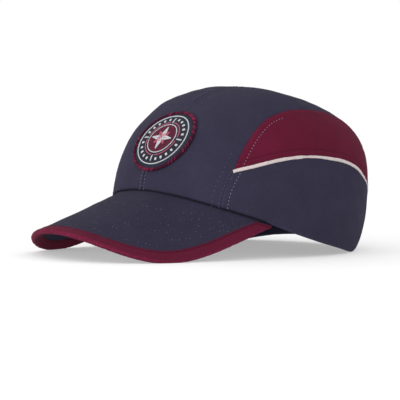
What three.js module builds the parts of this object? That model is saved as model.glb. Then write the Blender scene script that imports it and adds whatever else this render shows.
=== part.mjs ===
// A child's cap in millimetres, +Z up, with the peak to the front (-Y) and the wearer's left at +X.
// It rests by itself on the two sides of its peak and on the low corners of its back rim.
// The origin is the middle of the underside of its box.
//
// The crown is first worked out upright, with height 0 at its widest level. The whole cap is then
// leaned back until its peak and its back rim touch the same floor.

import * as THREE from "three";

// Crown: outside sizes at its widest level, and its height above that level
const CROWN_HALF_WIDTH = 77;
const CROWN_FRONT_REACH = 85.5;
const CROWN_BACK_REACH = 96;
const CROWN_HEIGHT = 75.2;
const APEX_FORWARD = 6.7;
const PLAN_SQUARENESS = 2.22;

// Rim: how far its low corners hang under the widest level, and how the wall leans in on the way
const RIM_DROP = 26.4;
const LEAN_DEPTH = 60;
const LEAN_CURVE = 1.7;

// Cloth
const CLOTH_WALL = 1.6;
const HEM_WALL = 2.3;
const HEM_WIDTH = 12;
const HEM_FADE = 2.4;
const SEAM_GAP = 0.4;
const TOUCH_GAP = 0.3;
const SIDE_PUFF = 0.6;
const PRESSED_FLAT = 0.3;
const HEM_SETTLE = 1.3;

// Piping
const PIPING_DIAMETER = 2.5;
const PIPING_PROUD = 0.75;
const CORNER_ROOM = 1.2;

// Peak: a flat sheet bent round an arch, which droops from the front of the crown
const PEAK_LENGTH = 76.9;
const PEAK_DROOP = 30.4;
const PEAK_ARCH_RADIUS = 67.2;
const PEAK_ARCH_OPENING = 7.7;
const PEAK_HALF_ARCH = 63.9;
const PEAK_ROOT_FORWARD = 87.9;
const PEAK_ROOT_DROP = 8.2;
const PEAK_CORNER_BACK = 41;
const PEAK_FLARE = 3.2;
const PEAK_FLARE_LENGTH = 60;
const PEAK_SHOULDER = 1.87;
const PEAK_ROUNDNESS = 4.56;
const PEAK_THICKNESS = 2.6;
const PEAK_EDGE_THICKNESS = 1.2;
const PEAK_TUCK = 0.4;
const PEAK_END_ANGLE = 65.5;

// Binding folded round the edge of the peak
const BINDING_WIDTH = 8.4;
const BINDING_WALL = 1.0;
const BINDING_END_SHARE = 0.7;
const BODY_CLEARANCE = 0.9;

// Badge on the front
const BADGE_RADIUS = 26;
const BADGE_THICKNESS = 1.1;
const BADGE_BORDER_WIDTH = 2.6;
const BADGE_BORDER_HEIGHT = 1.8;

// How finely the faces are divided
const STRIP_COLUMNS = 11;
const DROP_ROWS = 6;
const ARCH_ROWS = 22;
const UPPER_COLUMNS = 7;
const LOWER_COLUMNS = 7;
const SIDE_ROWS = 24;
const PIPING_SIDES = 8;
const PEAK_ROWS = 48;
const PEAK_COLUMNS = 7;
const BADGE_SECTORS = 32;
const BADGE_RINGS = 4;
const BORDER_SIDES = 8;
const NOSE_STEPS = 4;
const RIM_SAMPLES = 131;

// How closely places are searched for: a small step in level, passes of the nearest place search,
// halvings of a range, divisions of the peak's outline, and the most that the cap may lean
const SMALL_STEP = 2e-3;
const SEARCH_PASSES = 8;
const HALVINGS = 40;
const OUTLINE_DIVISIONS = 4000;
const MOST_LEAN = 45;

// Profile of the crown seen from one side: upright is how high the wall keeps its reach, as a share
// of the height, crest is how far the top stays level, as a share of the reach, and lean is how
// much of the reach is lost below the widest level, at the lean depth.
const PROFILES = {
  front: { upright: 0.38, crest: 0.5, lean: 0.007 },
  flank: { upright: 0.79, crest: 0.74, lean: 0.08 },
  back: { upright: 0.756, crest: 0.859, lean: 0.223 },
};

// Rim: degrees round from the front, and the drop there as a share of RIM_DROP
const RIM_LINE = [
  { angle: 0, share: 0.34 },
  { angle: 20, share: 0.4 },
  { angle: 40, share: 0.545 },
  { angle: 60, share: 0.7 },
  { angle: 80, share: 0.86 },
  { angle: 100, share: 0.955 },
  { angle: 118, share: 0.995 },
  { angle: 131, share: 1.01 },
  { angle: 138, share: 0.98 },
  { angle: 145, share: 0.84 },
  { angle: 154, share: 0.69 },
  { angle: 166, share: 0.58 },
  { angle: 180, share: 0.54 },
];

// Lines on the crown are given in degrees round from the front and in levels:
// 0 is the apex, 1 the widest level and 2 the rim.
const FRONT_TIP = { angle: 44, level: 0.92 };
const BACK_TIP = { angle: 151, level: 0.925 };
const FRONT_SEAM_FOOT = { angle: 40.8, level: 2 };
const BACK_SEAM_FOOT = { angle: 150, level: 2 };

// The badge sits a little to the wearer's left
const BADGE_SPOT = { angle: 2.9, level: 0.72 };

// The centre strip's cross lines turn round the apex below this level and run straight above it
const STRAIGHT_LEVEL = 0.3;

// Seam between the centre strip and the burgundy side, from tip to tip
const ARCH_LINE = [
  FRONT_TIP,
  { angle: 48, level: 0.77 },
  { angle: 52, level: 0.675 },
  { angle: 59, level: 0.584 },
  { angle: 67, level: 0.537 },
  { angle: 83, level: 0.479 },
  { angle: 101, level: 0.445 },
  { angle: 117, level: 0.424 },
  { angle: 132, level: 0.45 },
  { angle: 144, level: 0.6 },
  BACK_TIP,
];

// Seam with the piping, between the burgundy and the navy side, from tip to tip
const PIPING_LINE = [
  FRONT_TIP,
  { angle: 54, level: 0.882 },
  { angle: 67, level: 0.84 },
  { angle: 82, level: 0.812 },
  { angle: 96, level: 0.796 },
  { angle: 109, level: 0.788 },
  { angle: 122, level: 0.8 },
  { angle: 134, level: 0.841 },
  { angle: 144, level: 0.88 },
  BACK_TIP,
];

// Shares of each side seam that are left free at the tips, where three cloths and the piping meet
const UPPER_TIP_SHARE = 0.03;
const LOWER_TIP_SHARE = 0.008;
const PIPING_TIP_SHARE = 0.012;

const clamp = THREE.MathUtils.clamp;
const lerp = THREE.MathUtils.lerp;
const radians = THREE.MathUtils.degToRad;
const degrees = THREE.MathUtils.radToDeg;
const smoothstep = THREE.MathUtils.smoothstep;
const UP = new THREE.Vector3(0, 0, 1);
const SIDEWAYS = new THREE.Vector3(1, 0, 0);


// A smooth curve through the rows of a table, read at one place
function readTable(rows, key, column, place) {
  const last = rows.length - 1;
  let k = 0;
  while (k < last - 1 && place > rows[k + 1][key]) k += 1;
  const slopeAt = (i) => {
    const a = rows[Math.max(i - 1, 0)];
    const b = rows[Math.min(i + 1, last)];
    return i === 0 || i === last ? 0 : (b[column] - a[column]) / (b[key] - a[key]);
  };
  const span = rows[k + 1][key] - rows[k][key];
  const t = clamp((place - rows[k][key]) / span, 0, 1);
  const rise = rows[k + 1][column] - rows[k][column];
  const start = slopeAt(k) * span;
  const end = slopeAt(k + 1) * span;
  const cubic = start + end - 2 * rise;
  const square = 3 * rise - 2 * start - end;
  return rows[k][column] + t * (start + t * (square + t * cubic));
}

// The crown's outer surface

function profileAt(angle) {
  const forward = Math.cos(angle);
  const sideways = Math.sin(angle) ** 2;
  const end = forward > 0 ? PROFILES.front : PROFILES.back;
  const mix = (column) => forward ** 2 * end[column] + sideways * PROFILES.flank[column];
  return { upright: mix("upright"), crest: mix("crest"), lean: mix("lean") };
}

function reachAt(angle) {
  const along = Math.abs(Math.cos(angle));
  const across = Math.abs(Math.sin(angle));
  const reach = Math.cos(angle) > 0 ? CROWN_FRONT_REACH : CROWN_BACK_REACH;
  const sum = (across / CROWN_HALF_WIDTH) ** PLAN_SQUARENESS + (along / reach) ** PLAN_SQUARENESS;
  return sum ** (-1 / PLAN_SQUARENESS);
}

function rimDropAt(angle) {
  const round = degrees(Math.acos(clamp(Math.cos(angle), -1, 1)));
  return RIM_DROP * readTable(RIM_LINE, "angle", "share", round);
}

// A place on the crown is a Vector2: its direction seen from above, and its length is the level
function place({ angle, level }) {
  return new THREE.Vector2(Math.sin(radians(angle)), -Math.cos(radians(angle))).multiplyScalar(level);
}

function crownPoint(spot) {
  const angle = Math.atan2(spot.x, -spot.y);
  const level = spot.length();
  const profile = profileAt(angle);
  const reach = reachAt(angle);
  let share = 1;
  let height = 0;
  if (level <= 1) {
    const t = 1 - level;
    share = level ** 3 + 3 * level ** 2 * t + 3 * level * t ** 2 * profile.crest;
    height = CROWN_HEIGHT * (3 * level ** 2 * t * profile.upright + 3 * level * t ** 2 + t ** 3);
  } else {
    const drop = (level - 1) * rimDropAt(angle);
    share = 1 - profile.lean * (drop / LEAN_DEPTH) ** LEAN_CURVE;
    height = -drop;
  }
  const forward = level <= 1 ? APEX_FORWARD * (1 - share) : 0;
  return new THREE.Vector3(
    reach * Math.sin(angle) * share,
    -reach * Math.cos(angle) * share - forward,
    height,
  );
}

const rimPoint = (angle) => crownPoint(place({ angle, level: 2 }));

function crownSlopes(spot) {
  const sideStep = new THREE.Vector2(SMALL_STEP, 0);
  const backStep = new THREE.Vector2(0, SMALL_STEP);
  const slope = (step) => {
    const after = crownPoint(spot.clone().add(step));
    const before = crownPoint(spot.clone().sub(step));
    return after.sub(before).divideScalar(2 * SMALL_STEP);
  };
  return { side: slope(sideStep), back: slope(backStep) };
}

function crownNormal(spot) {
  const { side, back } = crownSlopes(spot);
  return side.cross(back).normalize();
}

// The place on the crown nearest to a point
function nearestPlace(point, guess) {
  const spot = guess.clone();
  for (let pass = 0; pass < SEARCH_PASSES; pass += 1) {
    const { side, back } = crownSlopes(spot);
    const miss = point.clone().sub(crownPoint(spot));
    const ss = side.dot(side);
    const sb = side.dot(back);
    const bb = back.dot(back);
    const sm = side.dot(miss);
    const bm = back.dot(miss);
    const size = ss * bb - sb * sb;
    spot.x += (bb * sm - sb * bm) / size;
    spot.y += (ss * bm - sb * sm) / size;
  }
  return spot;
}

// A line on the crown moved sideways by a real distance, to the right of its own direction
function moveLine(line, distance) {
  return line.map((spot, i) => {
    const before = crownPoint(line[Math.max(i - 1, 0)]);
    const after = crownPoint(line[Math.min(i + 1, line.length - 1)]);
    const right = after.sub(before).cross(crownNormal(spot)).normalize();
    const target = crownPoint(spot).addScaledVector(right, distance);
    return nearestPlace(target, spot);
  });
}

// A smooth line through the rows of a table, as evenly spaced places
function smoothLine(rows, count, from = 0, to = 1) {
  const knots = rows.map((row) => {
    const spot = place(row);
    return new THREE.Vector3(spot.x, spot.y, 0);
  });
  const curve = new THREE.CatmullRomCurve3(knots, false, "centripetal");
  const line = [];
  for (let i = 0; i <= count; i += 1) {
    const knot = curve.getPointAt(lerp(from, to, i / count));
    line.push(new THREE.Vector2(knot.x, knot.y));
  }
  return line;
}

// A straight line in angle and level
function straightLine(from, to, count) {
  const line = [];
  for (let i = 0; i <= count; i += 1) {
    const angle = lerp(from.angle, to.angle, i / count);
    const level = lerp(from.level, to.level, i / count);
    line.push(place({ angle, level }));
  }
  return line;
}

// The wall is thicker where the hem is turned up inside
function wallAt(spot) {
  const level = spot.length();
  if (level <= 1) return CLOTH_WALL;
  const aboveRim = (2 - level) * rimDropAt(Math.atan2(spot.x, -spot.y));
  return lerp(HEM_WALL, CLOTH_WALL, smoothstep(aboveRim, HEM_WIDTH - HEM_FADE, HEM_WIDTH));
}

// Closed meshes

function closedGeometry(points, triangles) {
  let volume = 0;
  for (const [a, b, c] of triangles) {
    volume += points[a].dot(points[b].clone().cross(points[c]));
  }
  const faces = volume > 0 ? triangles : triangles.map(([a, b, c]) => [a, c, b]);
  const geometry = new THREE.BufferGeometry();
  geometry.setAttribute("position", new THREE.Float32BufferAttribute(points.flatMap((p) => p.toArray()), 3));
  geometry.setIndex(faces.flat());
  return geometry;
}

// A sheet with two faces, each a grid of points in rows, closed round its four edges
function sheetGeometry(front, back) {
  const rows = front.length;
  const columns = front[0].length;
  const points = [...front.flat(), ...back.flat()];
  const at = (i, j, side) => side * rows * columns + i * columns + j;
  const triangles = [];
  const quad = (a, b, c, d) => triangles.push([a, b, c], [a, c, d]);
  for (let i = 0; i < rows - 1; i += 1) {
    for (let j = 0; j < columns - 1; j += 1) {
      quad(at(i, j, 0), at(i + 1, j, 0), at(i + 1, j + 1, 0), at(i, j + 1, 0));
      quad(at(i, j, 1), at(i, j + 1, 1), at(i + 1, j + 1, 1), at(i + 1, j, 1));
    }
    quad(at(i, 0, 0), at(i, 0, 1), at(i + 1, 0, 1), at(i + 1, 0, 0));
    quad(at(i, columns - 1, 0), at(i + 1, columns - 1, 0), at(i + 1, columns - 1, 1), at(i, columns - 1, 1));
  }
  for (let j = 0; j < columns - 1; j += 1) {
    quad(at(0, j, 0), at(0, j + 1, 0), at(0, j + 1, 1), at(0, j, 1));
    quad(at(rows - 1, j, 0), at(rows - 1, j, 1), at(rows - 1, j + 1, 1), at(rows - 1, j + 1, 0));
  }
  return closedGeometry(points, triangles);
}

// Loops of points joined one to the next. The ends meet each other, or close on the two end points.
function loopGeometry(loops, endPoints) {
  const sides = loops[0].length;
  const points = loops.flat();
  const triangles = [];
  const at = (k, i) => (k % loops.length) * sides + (i % sides);
  const joins = endPoints ? loops.length - 1 : loops.length;
  for (let k = 0; k < joins; k += 1) {
    for (let i = 0; i < sides; i += 1) {
      triangles.push([at(k, i), at(k, i + 1), at(k + 1, i + 1)]);
      triangles.push([at(k, i), at(k + 1, i + 1), at(k + 1, i)]);
    }
  }
  if (endPoints) {
    const first = points.push(endPoints[0]) - 1;
    const last = points.push(endPoints[1]) - 1;
    for (let i = 0; i < sides; i += 1) {
      triangles.push([first, at(0, i + 1), at(0, i)]);
      triangles.push([last, at(loops.length - 1, i), at(loops.length - 1, i + 1)]);
    }
  }
  return closedGeometry(points, triangles);
}

// A panel of the crown from a grid of places, fuller in its middle than at its seams by the puff
function panelGeometry(grid, fullness, nearestToMiddle = 0) {
  const rows = grid.length - 1;
  const columns = grid[0].length - 1;
  const outer = [];
  const inner = [];
  grid.forEach((row, i) => {
    outer.push([]);
    inner.push([]);
    row.forEach((spot, j) => {
      const normal = crownNormal(spot);
      const fromEnds = Math.max(Math.sin(Math.PI * (i / rows)), 0) ** 0.5;
      const fromSeams = Math.max(Math.sin(Math.PI * (j / columns)), 0) ** 0.5;
      const puff = fullness * fromEnds * fromSeams;
      const point = crownPoint(spot).addScaledVector(normal, puff);
      const under = point.clone().addScaledVector(normal, -wallAt(spot));
      point.x = Math.max(point.x, nearestToMiddle);
      under.x = Math.max(under.x, nearestToMiddle);
      outer[i].push(point);
      inner[i].push(under);
    });
  });
  return sheetGeometry(outer, inner);
}

// The seam of the centre strip, from the front rim up, over the side and down to the back rim

const frontDrop = straightLine(FRONT_SEAM_FOOT, FRONT_TIP, DROP_ROWS);
const backDrop = straightLine(BACK_TIP, BACK_SEAM_FOOT, DROP_ROWS);
const arch = smoothLine(ARCH_LINE, ARCH_ROWS);
const stripSeam = [...frontDrop, ...arch.slice(1, -1), ...backDrop];

function centreStrip() {
  const edge = moveLine(stripSeam, -SEAM_GAP / 2);
  const grid = edge.map((spot, i) => {
    const seamAngle = Math.atan2(spot.x, -spot.y);
    const seamLevel = spot.length();
    const archShare = clamp((i - DROP_ROWS) / ARCH_ROWS, 0, 1);
    let middle = lerp(-FRONT_TIP.level, BACK_TIP.level, archShare);
    if (i < DROP_ROWS) middle = -seamLevel;
    if (i > DROP_ROWS + ARCH_ROWS) middle = seamLevel;
    const startAngle = middle < 0 ? 0 : Math.PI;
    const round = smoothstep(Math.abs(middle), STRAIGHT_LEVEL, FRONT_TIP.level);
    const row = [];
    for (let j = 0; j <= STRIP_COLUMNS; j += 1) {
      const w = j / STRIP_COLUMNS;
      const angle = lerp(startAngle, seamAngle, w);
      const level = lerp(Math.abs(middle), seamLevel, w);
      const curved = new THREE.Vector2(Math.sin(angle), -Math.cos(angle)).multiplyScalar(level);
      const straight = new THREE.Vector2(0, middle).lerp(spot, w);
      row.push(straight.lerp(curved, round));
    }
    return row;
  });
  return panelGeometry(grid, 0, SEAM_GAP / 2);
}

function gridBetween(from, to, columns) {
  return from.map((start, i) => {
    const row = [];
    for (let j = 0; j <= columns; j += 1) row.push(start.clone().lerp(to[i], j / columns));
    return row;
  });
}

const pipingSeat = PIPING_DIAMETER / 2 + TOUCH_GAP;

// Piping slopes past a tip, so a corner under it keeps a little more than the seat
const cornerDrop = CORNER_ROOM * pipingSeat;

function sideUpper() {
  const from = UPPER_TIP_SHARE;
  const to = 1 - UPPER_TIP_SHARE;
  const top = moveLine(smoothLine(ARCH_LINE, SIDE_ROWS, from, to), SEAM_GAP / 2);
  const bottom = moveLine(smoothLine(PIPING_LINE, SIDE_ROWS, from, to), -pipingSeat);
  return panelGeometry(gridBetween(top, bottom, UPPER_COLUMNS), SIDE_PUFF);
}

// The level that lies a real distance under a tip, straight down the crown
function levelBelow(tip, distance) {
  const lower = { angle: tip.angle, level: tip.level + SMALL_STEP };
  const rate = crownPoint(place(tip)).distanceTo(crownPoint(place(lower))) / SMALL_STEP;
  return tip.level + distance / rate;
}

function sideLower() {
  const from = LOWER_TIP_SHARE;
  const to = 1 - LOWER_TIP_SHARE;
  const top = moveLine(smoothLine(PIPING_LINE, SIDE_ROWS, from, to), pipingSeat);
  const turnBy = degrees(SEAM_GAP / 2 / CROWN_FRONT_REACH);
  const startAngle = FRONT_SEAM_FOOT.angle + turnBy;
  const endAngle = BACK_SEAM_FOOT.angle - turnBy;
  const grid = top.map((spot, i) => {
    const footAngle = lerp(startAngle, endAngle, i / SIDE_ROWS);
    let start = { angle: degrees(Math.atan2(spot.x, -spot.y)), level: spot.length() };
    if (i === 0) start = { angle: FRONT_TIP.angle + turnBy, level: levelBelow(FRONT_TIP, cornerDrop) };
    if (i === SIDE_ROWS) start = { angle: BACK_TIP.angle - turnBy, level: levelBelow(BACK_TIP, cornerDrop) };
    return straightLine(start, { angle: footAngle, level: 2 }, LOWER_COLUMNS);
  });
  return panelGeometry(grid, SIDE_PUFF);
}

function piping() {
  const line = smoothLine(PIPING_LINE, SIDE_ROWS, PIPING_TIP_SHARE, 1 - PIPING_TIP_SHARE);
  const radius = PIPING_DIAMETER / 2;
  const middles = line.map((spot) => {
    return crownPoint(spot).addScaledVector(crownNormal(spot), PIPING_PROUD - radius);
  });
  const loops = line.map((spot, i) => {
    const outward = crownNormal(spot);
    const along = middles[Math.min(i + 1, line.length - 1)].clone().sub(middles[Math.max(i - 1, 0)]);
    const across = along.cross(outward).normalize();
    const loop = [];
    for (let k = 0; k < PIPING_SIDES; k += 1) {
      const turn = (2 * Math.PI * (k + 0.5)) / PIPING_SIDES;
      const point = middles[i].clone();
      point.addScaledVector(outward, radius * Math.cos(turn));
      point.addScaledVector(across, radius * Math.sin(turn));
      loop.push(point);
    }
    return loop;
  });
  return loopGeometry(loops, [middles[0], middles[middles.length - 1]]);
}

// The peak's middle sheet runs from under the crown's rim to the outer edge

const droop = radians(PEAK_DROOP);
const peakForward = new THREE.Vector3(0, -Math.cos(droop), -Math.sin(droop));
const peakUpward = new THREE.Vector3(0, -Math.sin(droop), Math.cos(droop));
const bindingHalf = PEAK_EDGE_THICKNESS / 2 + TOUCH_GAP + BINDING_WALL;

// The edge lies on the arch, which opens towards the crown, and its outline is a rounded box
function peakEdge(turn) {
  const across = Math.sign(turn) * Math.abs(Math.sin(turn)) ** (2 / PEAK_SHOULDER);
  const outward = Math.max(Math.cos(turn), 0) ** (2 / PEAK_ROUNDNESS);
  const reach = lerp(-PEAK_CORNER_BACK, PEAK_LENGTH, outward);
  const radius = PEAK_ARCH_RADIUS + PEAK_ARCH_OPENING * (1 - outward);
  const bend = across * radians(PEAK_HALF_ARCH);
  const flare = PEAK_FLARE * (1 - smoothstep(reach + PEAK_CORNER_BACK, 0, PEAK_FLARE_LENGTH));
  const point = new THREE.Vector3(0, -PEAK_ROOT_FORWARD - flare, -PEAK_ROOT_DROP);
  point.x += radius * Math.sin(bend) + Math.sign(across) * flare;
  point.addScaledVector(peakUpward, -radius * (1 - Math.cos(bend)));
  return point.addScaledVector(peakForward, reach);
}

// The outline of the peak from the wearer's right end to the left end
class PeakOutline extends THREE.Curve {
  getPoint(t) {
    return peakEdge((t - 0.5) * Math.PI);
  }
}

const outline = new PeakOutline();
outline.arcLengthDivisions = OUTLINE_DIVISIONS;

// The root follows the crown's rim, with the cloth of the crown just over it
function peakRoot(angle) {
  const spot = place({ angle, level: 2 });
  const rim = crownPoint(spot).addScaledVector(crownNormal(spot), -PEAK_TUCK * HEM_WALL);
  return rim.addScaledVector(UP, -TOUCH_GAP);
}

// The angle on the rim that belongs to a share of the outline: halfway between the one as far out
// as the edge is, in shares of the width, and the one as far round as the edge is
function rootAngle(share) {
  const edge = outline.getPointAt((share + 1) / 2);
  const target = (edge.x / outline.getPointAt(1).x) * rimPoint(PEAK_END_ANGLE).x;
  let low = -PEAK_END_ANGLE;
  let high = PEAK_END_ANGLE;
  for (let pass = 0; pass < HALVINGS; pass += 1) {
    const angle = (low + high) / 2;
    if (rimPoint(angle).x < target) low = angle;
    else high = angle;
  }
  return (low + share * PEAK_END_ANGLE) / 2;
}

const rimSamples = [];
for (let i = 0; i <= RIM_SAMPLES; i += 1) {
  rimSamples.push(peakRoot(lerp(-PEAK_END_ANGLE, PEAK_END_ANGLE, i / RIM_SAMPLES)));
}

// One line across the peak from its edge to its root. It leaves the edge squarely for the width of
// the binding, and then runs straight to the root.
function crossLine(share) {
  const edge = outline.getPointAt((share + 1) / 2);
  const along = outline.getTangentAt((share + 1) / 2);
  const angle = rootAngle(share);
  const rim = peakRoot(angle);
  const inward = rim.clone().sub(edge);
  const square = inward.clone().addScaledVector(along, -inward.dot(along)).normalize();
  const edgeNormal = along.clone().cross(square).normalize();
  const rimAlong = peakRoot(angle + 1).sub(peakRoot(angle - 1));
  const rootNormal = rimAlong.cross(inward).normalize();
  const room = Math.min(...rimSamples.map((sample) => sample.distanceTo(edge)));
  const width = Math.min(BINDING_WIDTH, BINDING_END_SHARE * room);
  const bodyStart = Math.min(width + BODY_CLEARANCE, room - TOUCH_GAP);
  const swell = clamp((bodyStart - width) / BODY_CLEARANCE, 0, 1);
  const bodyHalf = lerp(PEAK_EDGE_THICKNESS, PEAK_THICKNESS, swell) / 2;
  const root = rim.clone().addScaledVector(rootNormal, -PEAK_THICKNESS / 2);
  return { edge, square, edgeNormal, rootNormal, root, width, bodyStart, bodyHalf };
}

const crossLines = [];
for (let i = 0; i <= PEAK_ROWS; i += 1) crossLines.push(crossLine((2 * i) / PEAK_ROWS - 1));

function peak() {
  const top = [];
  const bottom = [];
  for (const line of crossLines) {
    const topRow = [];
    const bottomRow = [];
    const addPoint = (point, normal, half) => {
      topRow.push(point.clone().addScaledVector(normal, half));
      bottomRow.push(point.clone().addScaledVector(normal, -half));
    };
    for (const distance of [BINDING_WALL + TOUCH_GAP, line.width]) {
      const inBinding = line.edge.clone().addScaledVector(line.square, distance);
      addPoint(inBinding, line.edgeNormal, PEAK_EDGE_THICKNESS / 2);
    }
    const body = line.edge.clone().addScaledVector(line.square, line.bodyStart);
    for (let j = 0; j <= PEAK_COLUMNS; j += 1) {
      const share = j / PEAK_COLUMNS;
      const normal = line.edgeNormal.clone().lerp(line.rootNormal, share).normalize();
      addPoint(body.clone().lerp(line.root, share), normal, line.bodyHalf);
    }
    top.push(topRow);
    bottom.push(bottomRow);
  }
  return sheetGeometry(top, bottom);
}

// The binding is a strip folded round the edge: its section is a hairpin seen along the edge
function peakBinding() {
  const outer = [];
  const inner = [];
  for (const line of crossLines) {
    const hairpin = (half) => {
      const point = (distance, height) => {
        const middle = line.edge.clone().addScaledVector(line.square, distance);
        return middle.addScaledVector(line.edgeNormal, height);
      };
      const section = [point(line.width, half)];
      for (let k = 0; k <= NOSE_STEPS; k += 1) {
        const angle = Math.PI * (0.5 - k / NOSE_STEPS);
        section.push(point(bindingHalf - half * Math.cos(angle), half * Math.sin(angle)));
      }
      section.push(point(line.width, -half));
      return section;
    };
    outer.push(hairpin(bindingHalf));
    inner.push(hairpin(bindingHalf - BINDING_WALL));
  }
  return sheetGeometry(outer, inner);
}

// The badge lies on the front of the crown

const badgeSpot = place(BADGE_SPOT);
const badgeMiddle = crownPoint(badgeSpot);
const badgeNormal = crownNormal(badgeSpot);
const badgeUpward = badgeNormal.clone().cross(SIDEWAYS).normalize();
const badgeAcross = badgeUpward.clone().cross(badgeNormal);

function badgeLoop(radius, height) {
  const loop = [];
  for (let i = 0; i < BADGE_SECTORS; i += 1) {
    const turn = (2 * Math.PI * i) / BADGE_SECTORS;
    const flat = badgeMiddle.clone();
    flat.addScaledVector(badgeAcross, radius * Math.cos(turn));
    flat.addScaledVector(badgeUpward, radius * Math.sin(turn));
    const spot = nearestPlace(flat, badgeSpot);
    loop.push(crownPoint(spot).addScaledVector(crownNormal(spot), height));
  }
  return loop;
}

function badge() {
  const radius = BADGE_RADIUS - BADGE_BORDER_WIDTH - TOUCH_GAP;
  const top = TOUCH_GAP + BADGE_THICKNESS;
  const underLoops = [];
  const topLoops = [];
  for (let k = 1; k <= BADGE_RINGS; k += 1) {
    underLoops.push(badgeLoop((radius * k) / BADGE_RINGS, TOUCH_GAP));
    topLoops.unshift(badgeLoop((radius * k) / BADGE_RINGS, top));
  }
  const ends = [TOUCH_GAP, top].map((height) => badgeMiddle.clone().addScaledVector(badgeNormal, height));
  return loopGeometry([...underLoops, ...topLoops], ends);
}

function badgeBorder() {
  const middleRadius = BADGE_RADIUS - BADGE_BORDER_WIDTH / 2;
  const loops = [];
  for (let k = 0; k < BORDER_SIDES; k += 1) {
    const turn = (2 * Math.PI * k) / BORDER_SIDES;
    const radius = middleRadius + (BADGE_BORDER_WIDTH / 2) * Math.cos(turn);
    loops.push(badgeLoop(radius, TOUCH_GAP + (BADGE_BORDER_HEIGHT / 2) * (1 + Math.sin(turn))));
  }
  return loopGeometry(loops);
}

// Pieces that come in pairs are made for the wearer's left and mirrored for the right

function mirrored(geometry) {
  const points = [];
  const position = geometry.getAttribute("position");
  for (let i = 0; i < position.count; i += 1) {
    points.push(new THREE.Vector3(-position.getX(i), position.getY(i), position.getZ(i)));
  }
  const index = geometry.getIndex().array;
  const triangles = [];
  for (let i = 0; i < index.length; i += 3) triangles.push([index[i], index[i + 1], index[i + 2]]);
  return closedGeometry(points, triangles);
}

const cloth = (color, roughness) => new THREE.MeshStandardMaterial({ color, roughness, metalness: 0 });
const navyCloth = () => cloth(0x383547, 0.9);
const burgundyCloth = () => cloth(0x5e2135, 0.88);
const greyCord = () => cloth(0xc1bbb9, 0.8);
const badgeThread = () => cloth(0x3b3948, 0.7);
const borderThread = () => cloth(0x5a1c2c, 0.6);

const pieces = [];

// What lies lower than settle above the floor is a soft hem that sinks flat onto it
function addPiece(name, geometry, material, settle = 0) {
  pieces.push({ name, geometry, material, settle });
}

function addPair(name, geometry, material, settle = 0) {
  addPiece(`${name}_left`, geometry, material(), settle);
  addPiece(`${name}_right`, mirrored(geometry), material(), settle);
}

addPair("crown_centre", centreStrip(), navyCloth);
addPair("side_upper", sideUpper(), burgundyCloth);
addPair("side_lower", sideLower(), navyCloth, HEM_SETTLE);
addPair("piping", piping(), greyCord);
addPiece("peak", peak(), navyCloth());
addPiece("peak_binding", peakBinding(), burgundyCloth());
addPiece("badge", badge(), badgeThread());
addPiece("badge_border", badgeBorder(), borderThread());

// Rest: the cap leans back until its binding and its back rim are equally low

function lowest(geometry, lean) {
  const position = geometry.getAttribute("position");
  let low = Infinity;
  for (let i = 0; i < position.count; i += 1) {
    low = Math.min(low, position.getZ(i) * Math.cos(lean) - position.getY(i) * Math.sin(lean));
  }
  return low;
}

function restingLean() {
  const find = (name) => pieces.find((piece) => piece.name === name).geometry;
  let low = -radians(MOST_LEAN);
  let high = radians(MOST_LEAN);
  for (let pass = 0; pass < HALVINGS; pass += 1) {
    const lean = (low + high) / 2;
    if (lowest(find("side_lower_left"), lean) > lowest(find("peak_binding"), lean)) low = lean;
    else high = lean;
  }
  return (low + high) / 2;
}

function restOnFloor() {
  const lean = restingLean();
  const box = new THREE.Box3();
  for (const { geometry } of pieces) {
    geometry.rotateX(-lean);
    geometry.computeBoundingBox();
    box.union(geometry.boundingBox);
  }
  const middle = (box.min.y + box.max.y) / 2;
  for (const { geometry, settle } of pieces) {
    geometry.translate(0, -middle, -box.min.z - PRESSED_FLAT);
    const position = geometry.getAttribute("position");
    for (let i = 0; i < position.count; i += 1) {
      const height = position.getZ(i);
      position.setZ(i, height < settle ? 0 : Math.max(height, 0));
    }
    geometry.computeVertexNormals();
  }
}

restOnFloor();

const cap = new THREE.Group();
for (const { name, geometry, material } of pieces) {
  const mesh = new THREE.Mesh(geometry, material);
  mesh.name = name;
  cap.add(mesh);
}

export default cap;
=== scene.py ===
import bpy
import numpy as np
from numpy import arange, array, concatenate, cos, cross, linspace, maximum, minimum, pi, radians, sin
from mathutils import Matrix, Vector
from mathutils.bvhtree import BVHTree


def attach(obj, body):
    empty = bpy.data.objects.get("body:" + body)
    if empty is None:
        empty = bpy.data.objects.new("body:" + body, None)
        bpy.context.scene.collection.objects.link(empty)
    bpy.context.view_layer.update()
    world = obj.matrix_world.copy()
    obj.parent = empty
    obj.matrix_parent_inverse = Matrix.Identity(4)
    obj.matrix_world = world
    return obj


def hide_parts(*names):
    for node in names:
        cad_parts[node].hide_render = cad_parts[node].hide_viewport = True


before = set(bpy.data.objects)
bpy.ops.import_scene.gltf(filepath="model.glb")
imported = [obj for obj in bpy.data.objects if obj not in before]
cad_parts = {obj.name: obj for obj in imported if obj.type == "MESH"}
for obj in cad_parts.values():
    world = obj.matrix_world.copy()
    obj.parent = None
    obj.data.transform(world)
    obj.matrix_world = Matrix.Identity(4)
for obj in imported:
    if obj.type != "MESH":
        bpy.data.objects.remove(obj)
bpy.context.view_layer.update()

# Shapes are worked out in millimetres, upright, as in the part, and then leaned back and set down.
MM = 0.001
LEAN = radians(10.1539)
REST_SHIFT = array([0.0, 31.3284, 36.4039])

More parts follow.
